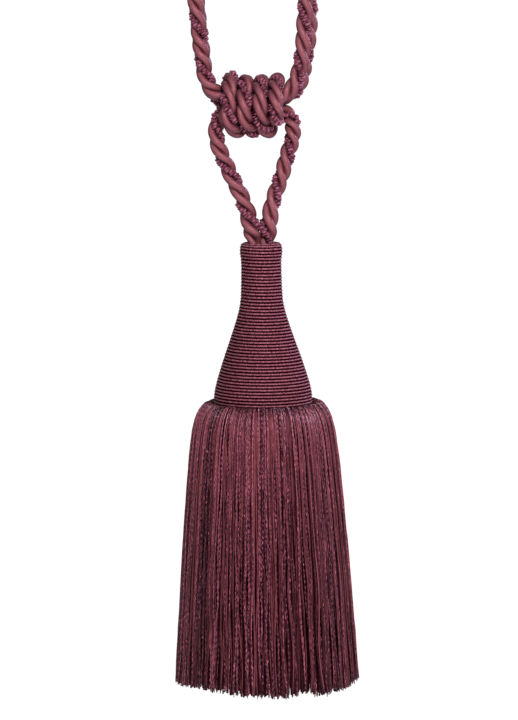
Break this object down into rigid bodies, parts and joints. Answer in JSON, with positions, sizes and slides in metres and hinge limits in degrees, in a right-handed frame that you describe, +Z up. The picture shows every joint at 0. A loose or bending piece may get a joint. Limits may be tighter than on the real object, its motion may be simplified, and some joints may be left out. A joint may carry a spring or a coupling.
{
  "type": "tassel curtain tieback",
  "caption": "Hanging curtain tieback: a doubled twisted rope with hook eyes, a barrel of rope wraps, rope legs, a wound bottle-shaped tassel head and a cut fringe skirt.",
  "frame": {"origin": "where a wall hook bears under the crowns of the two rope eyes, midway between them", "axes": "+Z up along the hanging tassel, +X to the viewer's right, the pictured front faces -Y"},
  "size_m": [0.123, 0.123, 0.4918],
  "materials": {
    "rope_yarn": "satin and looped yarn",
    "head_winding": "corded, two shades",
    "fringe_yarn": "soft sheen"
  },
  "bodies": {
    "root": {"arm_cord": "rope_yarn", "leg_cord": "rope_yarn", "knot": "rope_yarn", "tassel_head": "head_winding", "skirt": "fringe_yarn"}
  },
  "joints": []
}
